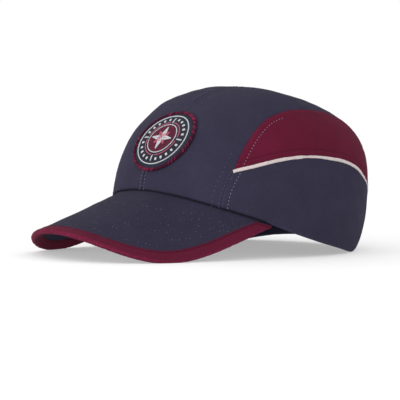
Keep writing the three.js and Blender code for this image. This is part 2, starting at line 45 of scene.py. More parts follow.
# Crown
CROWN_HALF_WIDTH = 77.0
CROWN_FRONT_REACH = 85.5
CROWN_BACK_REACH = 96.0
CROWN_HEIGHT = 75.2
APEX_FORWARD = 6.7
SQUARENESS = 2.22
RIM_DROP = 26.4
LEAN_DEPTH = 60.0
LEAN_CURVE = 1.7
PROFILES = {
    "front": {"upright": 0.38, "crest": 0.5, "lean": 0.007},
    "flank": {"upright": 0.79, "crest": 0.74, "lean": 0.08},
    "back": {"upright": 0.756, "crest": 0.859, "lean": 0.223},
}

# Rim: degrees round from the front, and the drop there as a share of RIM_DROP
RIM_LINE = array([
    (0, 0.34), (20, 0.4), (40, 0.545), (60, 0.7), (80, 0.86), (100, 0.955), (118, 0.995),
    (131, 1.01), (138, 0.98), (145, 0.84), (154, 0.69), (166, 0.58), (180, 0.54),
])

# Lines on the crown: degrees round from the front, and level (0 apex, 1 widest level, 2 rim)
FRONT_TIP = (44, 0.92)
BACK_TIP = (151, 0.925)
FRONT_SEAM_FOOT = (40.8, 2)
BACK_SEAM_FOOT = (150, 2)
FRONT_SEAM_BEND = 1.0  # degrees forward in the middle
ARCH_LINE = [
    FRONT_TIP, (48, 0.77), (52, 0.675), (59, 0.584), (67, 0.537), (83, 0.479), (101, 0.445),
    (117, 0.424), (132, 0.45), (144, 0.6), BACK_TIP,
]
PIPING_LINE = [
    FRONT_TIP, (54, 0.882), (67, 0.84), (82, 0.812), (96, 0.796), (109, 0.788), (122, 0.8),
    (134, 0.841), (144, 0.88), BACK_TIP,
]

# Cloth
CLOTH_WALL = 1.6
HEM_WALL = 2.3
HEM_WIDTH = 12.0
SIDE_PUFF = 0.6
PUFF_RUN = 14.0
ALLOWANCE = 4.7
ALLOWANCE_RAISE = 0.2
ALLOWANCE_STEP = 1.2
INNER_CREASE = 0.5
STRAIGHT_LEVEL = 0.3
TIP_SHARE = 0.006

# Places of the rows of stitches: distance from their seam, and how far along it they go
FRONT_ROW, FRONT_ROW_REACH = 0.9, 27.0
FAR_ROW, FAR_ROW_REACH = 6.0, 40.0
CENTRE_ROW, CENTRE_ROW_REACH = 1.6, 14.0
SIDE_ROW_REACH = 80.0
BINDING_ROW = 1.35

# Rows of stitches: pitch, length of a stitch and radius of its thread
SIDE_STITCH = (2.4, 0.95, 0.19)
ARCH_STITCH = (2.4, 0.95, 0.18)
FRONT_STITCH = (2.4, 1.3, 0.17)
FAR_STITCH = (3.4, 1.2, 0.15)
CENTRE_STITCH = (2.3, 1.1, 0.14)
NAVY_STITCH = (2.8, 2.0, 0.17)
PEAK_STITCH = (2.5, 1.1, 0.18)
BINDING_STITCH = (2.7, 1.9, 0.17)
THREAD_SIDES = 6
THREAD_PROUD = 0.55
THREAD_DIVE = 1.7

# Ridges (up) and grooves (down) beside each kind of edge: height, distance from it and softness
RELIEF = {
    "open": [],
    "seam": [(-0.22, 0, 0.55)],
    "raised": [(-0.22, 0, 0.55), (-0.2, ALLOWANCE, 0.55)],
    "flat": [(-0.1, 0, 0.55), (-0.2, ALLOWANCE, 0.55)],
    "tucked": [(-0.52, 0, 0.55), (0.3, 3.6, 1.0), (-0.28, 5.1, 0.6)],
    "under": [(-0.52, 0, 0.55)],
    "rim": [(-0.1, HEM_WIDTH, 0.8)],
    "peak row": [(-0.13, 0, 0.7)],
    "binding": [(-0.32, BINDING_ROW, 0.42)],
}

# The same for the cloth's colour, as a share: paler with wear (up), darkened with painted shade (down)
WEAR_AND_SHADE = {
    "raised": [(0.2, 1.3, 0.6)],
    "flat": [(0.2, 1.3, 0.6)],
    "tucked": [(-0.3, 5.2, 0.5)],
    "rim": [(0.28, 0.6, 1.0)],
    "rim on the peak": [(-1.0, 0, 1.1)],
    "peak at the rim": [(-1.0, 0, 1.3)],
    "peak row": [(-0.12, 0, 0.7)],
    "binding": [(-0.55, BINDING_ROW, 0.35), (-0.5, 0, 0.3)],
    "binding fold": [(0.5, 0.4, 1.0)],
}

# Unevenness: height and length of the bumps
BUMPS = {
    "panel": [(0.22, 34), (0.1, 13)],
    "hem": [(0.12, 7)],
    "pucker": [(0.13, 3.4)],
    "cord": [(0.1, 9)],
    "peak": [(0.14, 26), (0.06, 8)],
    "underside": [(0.12, 22)],
    "binding": [(0.07, 5), (0.05, 2.3)],
    "badge": [(0.05, 6)],
}

# Piping
PIPING_DIAMETER = 2.5
PIPING_PROUD = 0.75

# Peak
PEAK_LENGTH = 76.9
PEAK_DROOP = radians(30.4)
PEAK_ARCH_RADIUS = 67.2
PEAK_ARCH_OPENING = 7.7
PEAK_HALF_ARCH = radians(63.9)
PEAK_ROOT_FORWARD = 87.9
PEAK_ROOT_DROP = 8.2
PEAK_CORNER_BACK = 41.0
PEAK_FLARE = 3.2
PEAK_FLARE_LENGTH = 60.0
PEAK_SHOULDER = 1.87
PEAK_ROUNDNESS = 4.56
PEAK_THICKNESS = 2.6
EDGE_THICKNESS = 1.2
PEAK_TUCK = 0.4
PEAK_END_ANGLE = 65.5
TOUCH_GAP = 0.3
BINDING_WIDTH = 8.4
BINDING_WALL = 1.0
END_TUCK = 3.2
END_TUCK_LENGTH = 20.0
ROOT_TUCK = 0.5
ROOT_TUCK_LENGTH = 1.5
BODY_CLEARANCE = 0.9
PEAK_ROW_START = 13.0
PEAK_ROW_STEP = 8.5
PEAK_ROW_COUNT = 6
PEAK_ROW_WANDER = 0.55
PEAK_ROWS_KEPT = 0.7

# Badge
BADGE_RADIUS = 26.0
BADGE_SPOT = (2.9, 0.72)
BADGE_THICKNESS = 1.1
BORDER_WIDTH = 2.6
BORDER_HEIGHT = 1.8
BORDER_PITCH = 0.62
BORDER_THREAD = 0.34
BORDER_SWELL = 0.1

# Painted highlights on the border: share of loops in the highlight colour, the least, and heaps by height,
# angle and spread
HIGHLIGHT_LEAST = 0.12
HIGHLIGHT_HEAPS = [(0.6, 28, 26), (0.5, 187, 16)]

# Motifs on the badge, in millimetres from its middle; ticks are low, high and half width in degrees
FIELD_REACH = 19.9
CENTRE_REACH = 11.4
OUTER_RING = (20.0, 20.75)
INNER_RING = (11.3, 11.9)
PINK_ARC = (13.2, 14.0)
PINK_ARC_GAP = 6
LONG_TICK = (13.0, 18.6, 1.9)
SHORT_TICK = (15.6, 18.0, 2.6)
PALE_STAR = (9.9, 3.3, 0)
PINK_STAR = (7.2, 3.3, 45)
SATIN_PITCH = 0.42

# Colours as linear values
NAVY = (0.0282, 0.025, 0.0468)
BURGUNDY = (0.091, 0.0072, 0.0235)
BURGUNDY_TAPE = (0.089, 0.008, 0.0245)
PIPING_GREY = (0.53, 0.458, 0.453)
THREAD_GREY = (0.2, 0.185, 0.21)
SEAM_GREY = (0.25, 0.23, 0.32)
GLINT_GREY = (0.2, 0.2, 0.25)
SLATE = (0.02, 0.0235, 0.037)
FIELD = (0.022, 0.022, 0.034)
PALE = (0.5, 0.52, 0.55)
PINK = (0.36, 0.09, 0.13)
BADGE_RED = (0.11, 0.014, 0.034)
BORDER_DARK = (0.036, 0.001, 0.013)
BORDER_HIGHLIGHT = (0.17, 0.008, 0.042)


# Small helpers on arrays

def stacked(*parts):
    return np.stack(np.broadcast_arrays(*parts), axis=-1)


def norm(v):
    return np.sqrt((v * v).sum(axis=-1))


def unit(v):
    return v / maximum(norm(v), 1e-12)[..., None]


def smooth(x, low, high):
    t = np.clip((x - low) / (high - low), 0, 1)
    return t * t * (3 - 2 * t)


def ridge(distance, middle, softness):
    return np.exp(-(((distance - middle) / softness) ** 2))


def ridges(distance, rows):
    return sum((height * ridge(distance, at, softness) for height, at, softness in rows), 0 * distance)


def waves(points, length, seed, count=10):
    """A smooth unevenness of about one unit, with bumps of roughly this length."""
    rng = np.random.default_rng(seed)
    turn = unit(rng.normal(size=(count, 3)))
    rate = 2 * pi / (length * rng.uniform(0.7, 1.5, count))
    phase = rng.uniform(0, 2 * pi, count)
    return sin(points @ (turn * rate[:, None]).T + phase).sum(axis=-1) / np.sqrt(count)


def bumps(points, kind, seed):
    return sum(height * waves(points, length, seed + k) for k, (height, length) in enumerate(BUMPS[kind]))


def read_table(rows, x):
    keys, values = rows[:, 0], rows[:, 1]
    slopes = np.zeros(len(rows))
    slopes[1:-1] = (values[2:] - values[:-2]) / (keys[2:] - keys[:-2])
    k = np.clip(np.searchsorted(keys, x, side="left") - 1, 0, len(rows) - 2)
    span = keys[k + 1] - keys[k]
    t = np.clip((x - keys[k]) / span, 0, 1)
    rise = values[k + 1] - values[k]
    start, end = slopes[k] * span, slopes[k + 1] * span
    return values[k] + t * (start + t * (3 * rise - 2 * start - end + t * (start + end - 2 * rise)))


# The crown's outer surface. A spot is a direction seen from above, and its length is the level.

def spot_at(angle, level):
    a = radians(angle)
    return stacked(sin(a) * level, -cos(a) * level)


def spot_angle(spots):
    return np.arctan2(spots[..., 0], -spots[..., 1])


def rim_drop(angle):
    return RIM_DROP * read_table(RIM_LINE, np.degrees(np.arccos(cos(angle))))


def crown(spots):
    angle, level = spot_angle(spots), norm(spots)
    forward, sideways = cos(angle), sin(angle)
    front = forward > 0

    def mix(column):
        end = np.where(front, PROFILES["front"][column], PROFILES["back"][column])
        return forward ** 2 * end + sideways ** 2 * PROFILES["flank"][column]

    reach = np.where(front, CROWN_FRONT_REACH, CROWN_BACK_REACH)
    across = (abs(sideways) / CROWN_HALF_WIDTH) ** SQUARENESS
    along = (abs(forward) / reach) ** SQUARENESS
    reach = (across + along) ** (-1 / SQUARENESS)
    inner = minimum(level, 1)
    t = 1 - inner
    dome = inner ** 3 + 3 * inner ** 2 * t + 3 * inner * t ** 2 * mix("crest")
    height = CROWN_HEIGHT * (3 * inner ** 2 * t * mix("upright") + 3 * inner * t ** 2 + t ** 3)
    drop = maximum(level - 1, 0) * rim_drop(angle)
    skirt = 1 - mix("lean") * (drop / LEAN_DEPTH) ** LEAN_CURVE
    share = np.where(level <= 1, dome, skirt)
    shift = np.where(level <= 1, APEX_FORWARD * (1 - dome), 0)
    z = np.where(level <= 1, height, -drop)
    return stacked(reach * sideways * share, -reach * forward * share - shift, z)


SMALL_STEP = 2e-3


def crown_slopes(spots):
    steps = SMALL_STEP * np.eye(2)
    return [(crown(spots + step) - crown(spots - step)) / (2 * SMALL_STEP) for step in steps]


def crown_normal(spots):
    return unit(cross(*crown_slopes(spots)))


def nearest_spot(points, guess):
    spots = np.broadcast_to(guess, points.shape[:-1] + (2,)).copy()
    for _ in range(8):
        slopes = np.stack(crown_slopes(spots), axis=-2)
        miss = slopes @ (points - crown(spots))[..., None]
        spots += np.linalg.solve(slopes @ np.swapaxes(slopes, -1, -2), miss)[..., 0]
    return spots


def lengths(points, axis=0):
    """Distances along a line of points, or along the rows or columns of a grid."""
    return np.insert(np.cumsum(norm(np.diff(points, axis=axis)), axis=axis), 0, 0, axis=axis)


def picked(line, at, where):
    """Places on a line, if its own points lie at these distances or shares along it."""
    return stacked(*(np.interp(where, at, column) for column in line.T))


def resample(line, where):
    return picked(line, lengths(line), where)


def move_line(line, distance):
    points = crown(line)
    right = unit(cross(np.gradient(points, axis=0), crown_normal(line)))
    return nearest_spot(points + right * distance, line)


def smooth_line(rows, count, start=0.0, end=1.0):
    """A centripetal curve through the rows, as evenly spaced spots."""
    knots = array([spot_at(*row) for row in rows])
    knots = concatenate([[2 * knots[0] - knots[1]], knots, [2 * knots[-1] - knots[-2]]])
    pieces = []
    t = linspace(0, 1, 60)[:, None]
    for a, b, c, d in zip(knots, knots[1:], knots[2:], knots[3:]):
        u, v, w = (np.linalg.norm(q - p) ** 0.5 for p, q in ((a, b), (b, c), (c, d)))
        first = ((b - a) / u - (c - a) / (u + v) + (c - b) / v) * v
        last = ((c - b) / v - (d - b) / (v + w) + (d - c) / w) * v
        square, cubic = 3 * (c - b) - 2 * first - last, 2 * (b - c) + first + last
        pieces.append((b + first * t + square * t ** 2 + cubic * t ** 3)[:-1])
    line = concatenate(pieces + [knots[-2:-1]])
    total = lengths(line)[-1]
    return resample(line, linspace(start * total, end * total, count + 1))


def back_seam(count):
    return spot_at(*linspace(BACK_TIP, BACK_SEAM_FOOT, count + 1).T)


def front_seam_angle(level):
    """Degrees of the seam between foot and tip: even with its height, and bent forward a little."""
    foot, tip = FRONT_SEAM_FOOT, FRONT_TIP
    height = crown(spot_at(foot[0], level))[..., 2]
    low, high = (crown(spot_at(foot[0], end[1]))[2] for end in (foot, tip))
    share = (height - low) / (high - low)
    return foot[0] + (tip[0] - foot[0]) * share - FRONT_SEAM_BEND * 4 * share * (1 - share)


def front_seam(count):
    level = linspace(FRONT_SEAM_FOOT[1], FRONT_TIP[1], count + 1)
    return spot_at(front_seam_angle(level), level)


CROWDING = 0.82


def evened(count):
    """Shares from 0 to 1 that lie closer together at both ends."""
    t = linspace(0, 1, count + 1)
    return t - CROWDING * sin(2 * pi * t) / (2 * pi)


def crowded(count):
    """Shares from 0 to 1 that lie closer together at the start."""
    t = linspace(0, 1, count + 1)
    return t - CROWDING * sin(pi * t) / pi


def at_rest(points):
    c, s = cos(LEAN), sin(LEAN)
    x, y, z = points.T
    moved = stacked(x, y * c + z * s, z * c - y * s) + REST_SHIFT
    moved[:, 2] = maximum(moved[:, 2], 0.02)
    return moved


# Meshes

def place(name, data):
    item = bpy.data.objects.new(name, data)
    bpy.context.scene.collection.objects.link(item)
    return item


def make_piece(name, points, faces, material, slot, nodes=(), cloth=None, wear_and_shade=None):
    """A mesh from points in millimetres. Cloth gives each point its place on the flat cloth, in
    millimetres, and the last argument how far it is paler with wear there (up) or darkened with painted
    shade (down)."""
    a, b, c, d = (concatenate([points[f[:, k]] for f in faces]) for k in (0, 1, 2, -1))
    inside_out = (a * (cross(b, c) + cross(c, d))).sum() < 0
    polygons = [f[::-1] if inside_out else f for group in faces for f in group.tolist()]
    mesh = bpy.data.meshes.new(name)
    mesh.from_pydata((at_rest(points) * MM).tolist(), [], polygons)
    if cloth is not None:
        corners = np.empty(len(mesh.loops), dtype=np.int32)
        mesh.loops.foreach_get("vertex_index", corners)
        flat = cloth[corners] * 0.1
        mesh.uv_layers.new(name="cloth").data.foreach_set("uv", flat.astype(np.float32).ravel())
    tone_marks = mesh.attributes.new("wear_and_shade", "FLOAT", "POINT")
    values = np.zeros(len(points)) if wear_and_shade is None else wear_and_shade
    tone_marks.data.foreach_set("value", values.astype(np.float32))
    mesh.polygons.foreach_set("use_smooth", np.ones(len(mesh.polygons), dtype=bool))
    mesh.update()
    mesh.validate()
    piece = place(name, mesh)
    piece.data.materials.append(material)
    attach(piece, "root")
    if nodes:
        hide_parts(*nodes)


def sheet_faces(rows, columns):
    """Faces of two grids of points, one over the other, and of the band round their edges."""
    at = arange(rows * columns).reshape(rows, columns)
    front = stacked(at[:-1, :-1], at[1:, :-1], at[1:, 1:], at[:-1, 1:]).reshape(-1, 4)
    border = concatenate([at[0, :-1], at[:-1, -1], at[-1, :0:-1], at[:0:-1, 0]])
    ahead = np.roll(border, -1)
    band = stacked(border, ahead, ahead + at.size, border + at.size)
    return [front, front[:, ::-1] + at.size, band]


def make_sheet(name, front, back, cloth, wear_and_shade, material, slot, node):
    """A closed sheet of cloth between two grids of points, with wear and painted shade on its front. Gives
    its front.
    """
    points, faces = front.reshape(-1, 3), sheet_faces(*wear_and_shade.shape)
    both = concatenate([points, back.reshape(-1, 3)])
    flat = concatenate([cloth.reshape(-1, 2)] * 2)
    wear = concatenate([wear_and_shade.ravel(), np.zeros(wear_and_shade.size)])
    make_piece(name, both, faces, material, slot, [node], flat, wear)
    return points, faces[0]


def closed_faces(rows, columns):
    """Faces of a grid that closes on itself both ways."""
    at = arange(rows * columns).reshape(rows, columns)
    down = np.roll(at, -1, axis=0)
    return stacked(at, down, np.roll(down, -1, axis=1), np.roll(at, -1, axis=1)).reshape(-1, 4)


def tube_faces(count, rings, sides):
    """Faces of several tubes of rings, closed at both ends by one point each."""
    each = rings * sides + 2
    ring = arange(rings * sides).reshape(rings, sides)
    nxt = np.roll(ring, -1, axis=1)
    walls = stacked(ring[:-1], nxt[:-1], nxt[1:], ring[1:]).reshape(-1, 4)
    start, end = rings * sides, rings * sides + 1
    caps = concatenate([stacked(start, nxt[0], ring[0]), stacked(end, ring[-1], nxt[-1])])
    shift = (arange(count) * each)[:, None, None]
    return [(walls + shift).reshape(-1, 4), (caps + shift).reshape(-1, 3)]


def threads(paths, normals, radius, flat=0.8):
    """Thin rounded threads along several paths at once, as points and faces."""
    count, rings = paths.shape[:2]
    along = unit(np.gradient(paths, axis=1))
    across = unit(cross(along, normals))
    upward = cross(across, along) * flat
    taper = np.sqrt(1 - linspace(-1, 1, rings) ** 4 * 0.9)[:, None, None]
    turn = (2 * pi * (arange(THREAD_SIDES) + 0.5) / THREAD_SIDES)[:, None]
    around = across[:, :, None] * cos(turn) + upward[:, :, None] * sin(turn)
    body = paths[:, :, None] + radius * taper * around
    tip = radius * 0.3
    ends = np.stack([paths[:, 0] - along[:, 0] * tip, paths[:, -1] + along[:, -1] * tip], axis=1)
    points = concatenate([body.reshape(count, -1, 3), ends], axis=1)
    return points.reshape(-1, 3), tube_faces(count, rings, THREAD_SIDES)


def join(groups):
    """Several (points, faces) as one."""
    points, faces, shift = [], [], 0
    for group_points, group_faces in groups:
        points.append(group_points)
        faces += [f + shift for f in group_faces]
        shift += len(group_points)
    return concatenate(points), faces


def make_threads(name, groups, material, slot):
    make_piece(name, *join(groups), material, slot)


# Materials

def set_inputs(node, values):
    for name, value in values.items():
        node.inputs[name].default_value = value


def new_material(name, colour, roughness, sheen=0.0, specular=0.3):
    material = bpy.data.materials.new(name)
    material.use_nodes = True
    shader = material.node_tree.nodes["Principled BSDF"]
    set_inputs(shader, {"Base Color": (*colour, 1), "Roughness": roughness, "Specular IOR Level": specular})
    if sheen:
        tint = (*(min(1, 0.35 + 2 * c) for c in colour), 1)
        set_inputs(shader, {"Sheen Weight": sheen, "Sheen Roughness": 0.5, "Sheen Tint": tint})
    material.diffuse_color = (*colour, 1)
    return material


class Nodes:
    """Short calls for the nodes of one material."""

    def __init__(self, material):
        self.tree = material.node_tree
        self.shader = self.tree.nodes["Principled BSDF"]
        self.solid = self.make("TexCoord", {}, "Object")

    def feed(self, node, name, value):
        if isinstance(value, (int, float, tuple)):
            node.inputs[name].default_value = value
        else:
            self.tree.links.new(value, node.inputs[name])

    def make(self, kind, inputs, output=0, **settings):
        """A node whose inputs are values or outputs of other nodes. Gives one of its outputs."""
        node = self.tree.nodes.new("ShaderNode" + kind)
        for name, value in settings.items():
            setattr(node, name, value)
        for name, value in inputs.items():
            self.feed(node, name, value)
        return node.outputs[output]

    def flat(self):
        return self.make("UVMap", {}, uv_map="cloth")

    def wear_and_shade(self, sign):
        """With sign 1, how far the cloth is paler with wear; with sign -1, how far it is darkened with
        painted shade.
        """
        value = self.make("Attribute", {}, "Fac", attribute_name="wear_and_shade")
        return self.math("MAXIMUM", self.math("MULTIPLY", value, sign), 0.0)

    def math(self, operation, a, b, c=0.0):
        return self.make("Math", {0: a, 1: b, 2: c}, operation=operation)

    def sum(self, a, factor, b=0.0):
        """A times the factor, plus b."""
        return self.math("MULTIPLY_ADD", a, factor, b)

    def noise(self, vector, scale, detail=2.0, roughness=0.5):
        inputs = {"Vector": vector, "Scale": scale, "Detail": detail, "Roughness": roughness}
        return self.make("TexNoise", inputs)

    def wave(self, vector, scale, distortion=0.0, detail_scale=1.0):
        inputs = {"Vector": vector, "Scale": scale, "Distortion": distortion, "Detail Scale": detail_scale}
        return self.make("TexWave", inputs, "Fac", wave_type="BANDS", bands_direction="X")

    def turned(self, vector, angle, scale=(1, 1, 1)):
        return self.make("Mapping", {"Vector": vector, "Rotation": (0, 0, radians(angle)), "Scale": scale})

    def ramp(self, value, *stops):
        """Greys between two stops, each of them a position and a grey."""
        node = self.tree.nodes.new("ShaderNodeValToRGB")
        for element, (position, grey) in zip(node.color_ramp.elements, stops):
            element.position = position
            element.color = (grey, grey, grey, 1)
        self.feed(node, 0, value)
        return node.outputs[0]

    def mix(self, share, a, b):
        return self.make("Mix", {0: share, 6: a, 7: b}, 2, data_type="RGBA")

    def bump(self, height, strength, distance):
        inputs = {"Height": height, "Strength": strength, "Distance": distance}
        self.feed(self.shader, "Normal", self.make("Bump", inputs))


def scaled(colour, factor):
    return (*(min(1.0, c * factor) for c in colour), 1)


def cloth_material(name, colour, rib=0.75, lint=0.16, contrast=0.14, sheen=0.03):
    """Cotton twill: slanting ribs of yarn, uneven dyeing, edges paler with wear, painted shade in grooves
    and where parts meet, and a little pale lint.
    """
    material = new_material(name, colour, 0.92, sheen, 0.06)
    n = Nodes(material)
    flat, solid = n.flat(), n.solid
    per_cm = 10.0 / rib
    ribs = n.wave(n.turned(flat, 58), per_cm / 3.1, distortion=0.6, detail_scale=6)
    yarns = n.wave(n.turned(flat, -14), per_cm / 1.9, distortion=1.2, detail_scale=8)
    slubs = n.noise(n.turned(flat, 58, (1.2, 7, 1)), 3.0, detail=3)
    fuzz = n.noise(solid, 2600)
    weave = n.sum(ribs, 0.6, n.sum(yarns, 0.25))
    n.bump(n.sum(fuzz, 0.3, n.sum(slubs, 0.45, weave)), 0.5, 0.00022)
    patches = n.noise(solid, 38, detail=4, roughness=0.6)
    grain = n.noise(solid, 1150, roughness=0.7)
    tone = 0.5
    for share, source, middle in ((1.1, patches, 0.5), (1.5, grain, 0.5), (0.55, weave, 0.42)):
        tone = n.sum(n.math("SUBTRACT", source, middle), share, tone)
    base = n.mix(tone, scaled(colour, 1 - contrast * 1.6), scaled(colour, 1 + contrast * 1.6))
    tone_marks = n.math("MULTIPLY", n.wear_and_shade(1.0), n.ramp(n.noise(solid, 500), (0.35, 0), (0.65, 1)))
    base = n.mix(n.math("MINIMUM", tone_marks, 0.6), base, scaled(colour, 2.1))
    # Painted shade: darkened in grooves beside seams, folds and stitch rows, and where parts meet.
    base = n.mix(n.wear_and_shade(-1.0), base, scaled(colour, 0.28))
    specks = n.ramp(n.noise(solid, 420, detail=1), (0.74, 0), (0.8, lint))
    n.feed(n.shader, "Base Color", n.mix(specks, base, scaled(colour, 4.5)))
    n.feed(n.shader, "Roughness", n.ramp(grain, (0.3, 0.84), (0.7, 0.97)))
    return material


def thread_material(name, colour, roughness=0.7, glint=0.0):
    """Spun thread: fine twisted strands, and small differences in tone from stitch to stitch.
    Glint is how far some stitches, in clusters, are mixed to a pale grey: a painted highlight."""
    material = new_material(name, colour, roughness, 0.04, 0.12)
    n = Nodes(material)
    solid = n.solid
    strands = n.wave(n.turned(solid, 35), 1700, distortion=2.5, detail_scale=3)
    fuzz = n.noise(solid, 5200)
    n.bump(n.sum(strands, 0.7, fuzz), 0.35, 0.00008)
    tone = n.sum(n.noise(solid, 900), 0.7, n.sum(strands, 0.3))
    base = n.mix(tone, scaled(colour, 0.62), scaled(colour, 1.32))
    if glint:
        # Painted highlight: pale grey glints on some of the stitches, in clusters.
        base = n.mix(n.ramp(n.noise(solid, 330), (0.52, 0), (0.6, glint)), base, (*GLINT_GREY, 1))
    n.feed(n.shader, "Base Color", base)
    return material


def cord_material(name, colour):
    """Fine bias cloth over a cord: close slanting wrinkles, darker in their creases, and painted shade
    along the cord's sides.
    """
    material = new_material(name, colour, 0.85, 0.2, 0.2)
    n = Nodes(material)
    flat, solid = n.flat(), n.solid
    wrinkles = n.noise(n.turned(flat, 40, (5, 1.4, 1)), 2.4, detail=3)
    weave = n.wave(n.turned(flat, 45), 7.5, distortion=0.6, detail_scale=4)
    creases = n.sum(wrinkles, 1.2, n.sum(weave, 0.3))
    n.bump(n.math("ADD", creases, n.noise(solid, 3600)), 0.45, 0.00022)
    tone = n.sum(n.noise(solid, 260, detail=4), 0.7, n.sum(wrinkles, 0.4))
    base = n.mix(tone, scaled(colour, 0.72), scaled(colour, 1.2))
    # Painted shade along the sides of the cord, where it meets the cloth.
    n.feed(n.shader, "Base Color", n.mix(n.wear_and_shade(-1.0), base, scaled(colour, 0.4)))
    return material


navy = cloth_material("navy_twill", NAVY)
# Painted shade: the peak's twill is the crown's navy, darkened to 0.9.
navy_peak_shaded = cloth_material("navy_peak_twill", scaled(NAVY, 0.9)[:3], lint=0.26)
burgundy = cloth_material("burgundy_twill", BURGUNDY, lint=0.12, contrast=0.12, sheen=0.01)
tape = cloth_material("burgundy_tape", BURGUNDY_TAPE, rib=0.6, lint=0.1, contrast=0.12)
piping_cloth = cord_material("piping_cloth", PIPING_GREY)
slate_twill = cloth_material("badge_slate", SLATE, rib=0.6, lint=0.1)
thread = {
    name: thread_material(f"{name}_thread", *look)
    for name, *look in (
        ("grey", THREAD_GREY),
        ("seam", SEAM_GREY),
        ("navy", scaled(NAVY, 1.9)[:3]),
        ("peak", scaled(NAVY, 1.5)[:3], 0.7, 0.45),
        ("faint", scaled(NAVY, 3.2)[:3]),
        ("tape", scaled(BURGUNDY_TAPE, 0.75)[:3]),
        ("badge_field", FIELD, 0.55),
        ("badge_pale", PALE, 0.5),
        ("badge_pink", PINK, 0.5),
        ("badge_red", BADGE_RED, 0.5),
        ("border_dark", BORDER_DARK),
        ("border_bright", BORDER_HIGHLIGHT),
    )
}


# Crown panels

PEAK_END = radians(PEAK_END_ANGLE)
outer_faces = []


def panel(name, grid, puff, edges, material, slot, node, seed, mirror):
    """A panel of cloth on the crown. Edges says what its first and last row and column are: a seam,
    raised over folded cloth, flat for such a one pressed flat, under the piping, tucked under it
    with a pressed fold beside it, the rolled rim, or open for none of these."""
    points, normals = crown(grid), crown_normal(grid)
    first_row, first_column = lengths(points), lengths(points, 1)
    last_row, last_column = first_row[-1:] - first_row, first_column[:, -1:] - first_column
    sign = array([-1 if mirror else 1, 1, 1])
    shown = points * sign
    lift = bumps(shown, "panel", seed)
    to_row, to_column = minimum(first_row, last_row), minimum(first_column, last_column)
    lift += puff * (smooth(to_row, 0, PUFF_RUN) * smooth(to_column, 0, PUFF_RUN)) ** 0.5
    wear_and_shade = np.zeros(lift.shape)
    half = np.full(lift.shape, CLOTH_WALL / 2)
    to_rim, to_seam = (np.full(lift.shape, 99.0) for _ in range(2))
    for d, kind in zip((first_row, last_row, first_column, last_column), edges):
        lift += ridges(d, RELIEF[kind])
        if kind == "rim":
            half = (HEM_WALL + (CLOTH_WALL - HEM_WALL) * smooth(d, HEM_WIDTH * 0.8, HEM_WIDTH)) / 2
            lift += bumps(shown, "hem", seed + 2) * np.exp(-d / 6)
            beside = smooth(abs(spot_angle(grid)), PEAK_END - 0.06, PEAK_END)
            # Paler with wear along the rim, but painted shade where the peak meets the rim.
            wear_and_shade += ridges(d, WEAR_AND_SHADE["rim"]) * beside + ridges(d, WEAR_AND_SHADE["rim on the peak"]) * (1 - beside)
            to_rim = minimum(to_rim, d)
        elif kind != "open":
            # Paler with wear on the ridges beside seams; painted shade in the groove beside the piping's
            # pressed fold.
            wear_and_shade += ridges(d, WEAR_AND_SHADE.get(kind, []))
            lift += bumps(shown, "pucker", seed + 3) * ridge(d, 2.0, 2.4)
        if kind in ("raised", "flat"):
            lift += ALLOWANCE_RAISE * (1 - smooth(d, ALLOWANCE, ALLOWANCE + ALLOWANCE_STEP))
        if kind in ("raised", "flat", "seam"):
            to_seam = minimum(to_seam, d)
    inward = 1 - np.clip(to_rim / HEM_WALL * 2, 0, 1)
    rounded = minimum(half, HEM_WALL / 2 * maximum(np.sqrt(1 - inward ** 2), 0.1))
    crease = INNER_CREASE * ridge(to_seam, 0, 0.8)
    front = points + normals * (lift - half + rounded)[..., None]
    back = points - normals * (half + rounded - crease)[..., None]
    for face in (front, back):
        face[..., 0] = maximum(face[..., 0], 0)
    along = lengths(points[:, points.shape[1] // 2])[:, None]
    flat = stacked(first_column, along)
    outer_faces.append(make_sheet(name, front * sign, back * sign, flat, wear_and_shade, material, slot, node))


DROP_ROWS, ARCH_ROWS, STRIP_COLUMNS = 34, 190, 76
front_drop = front_seam(DROP_ROWS)
back_drop = back_seam(DROP_ROWS)
arch = smooth_line(ARCH_LINE, ARCH_ROWS)


def strip_grid():
    """The centre strip's left half, from the centre seam out: it follows rounds of one level near
    its two ends, and straight rows across in between."""
    even, share = linspace(0, 1, DROP_ROWS + 1), crowded(DROP_ROWS)
    front, back = picked(front_drop, even, share), picked(back_drop, even, 1 - share[::-1])
    seam = concatenate([front, arch[1:-1], back])
    level = norm(seam)
    between = linspace(-FRONT_TIP[1], BACK_TIP[1], ARCH_ROWS + 1)[1:-1]
    middle = concatenate([-norm(front), between, norm(back)])
    start = np.where(middle < 0, 0, pi)
    curved_share = smooth(abs(middle), STRAIGHT_LEVEL, FRONT_TIP[1])[:, None, None]
    w = evened(STRIP_COLUMNS)[None]
    angle = start[:, None] + (spot_angle(seam) - start)[:, None] * w
    radius = abs(middle)[:, None] + (level - abs(middle))[:, None] * w
    curved = stacked(sin(angle), -cos(angle)) * radius[..., None]
    centre = stacked(0, middle)[:, None]
    straight = centre + (seam[:, None] - centre) * w[..., None]
    return straight + (curved - straight) * curved_share


SIDE_ROWS, UPPER_COLUMNS, LOWER_COLUMNS = 170, 60, 64


def side_line(rows, start, end):
    fine = smooth_line(rows, 1200)
    total = lengths(fine)[-1]
    return resample(fine, (start + (end - start) * evened(SIDE_ROWS)) * total)


def upper_grid():
    top, bottom = (side_line(rows, TIP_SHARE, 1 - TIP_SHARE) for rows in (ARCH_LINE, PIPING_LINE))
    return top[:, None] + (bottom - top)[:, None] * evened(UPPER_COLUMNS)[:, None]


